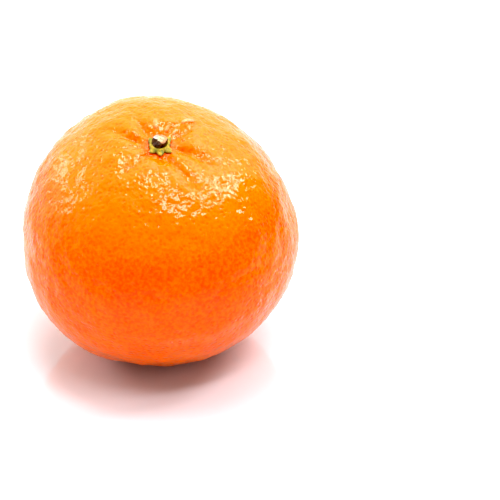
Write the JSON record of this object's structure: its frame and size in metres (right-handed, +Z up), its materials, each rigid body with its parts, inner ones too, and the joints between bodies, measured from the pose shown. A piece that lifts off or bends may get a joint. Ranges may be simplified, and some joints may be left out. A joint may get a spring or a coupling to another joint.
{
  "type": "mandarin",
  "caption": "Whole mandarin with a pebbled orange rind, puckered stem dimple, lobed green calyx and short cut stalk, resting on a small flat spot.",
  "frame": {"origin": "on the table under the middle of the fruit, on the flat spot that it rests on", "axes": "+Z up from the table; the stem end leans 13 degrees from +Z towards -Y, the side that the picture shows; +X to the viewer's right"},
  "size_m": [0.067, 0.0679, 0.0601],
  "materials": {
    "peel": "waxy pebbled citrus rind, semi-gloss",
    "sepals": "matte, dry yellow-green plant tissue",
    "stalk": "matte dark bark with a pale cut end"
  },
  "bodies": {
    "root": {"fruit": "peel", "calyx": "sepals", "pedicel": "stalk"}
  },
  "joints": []
}
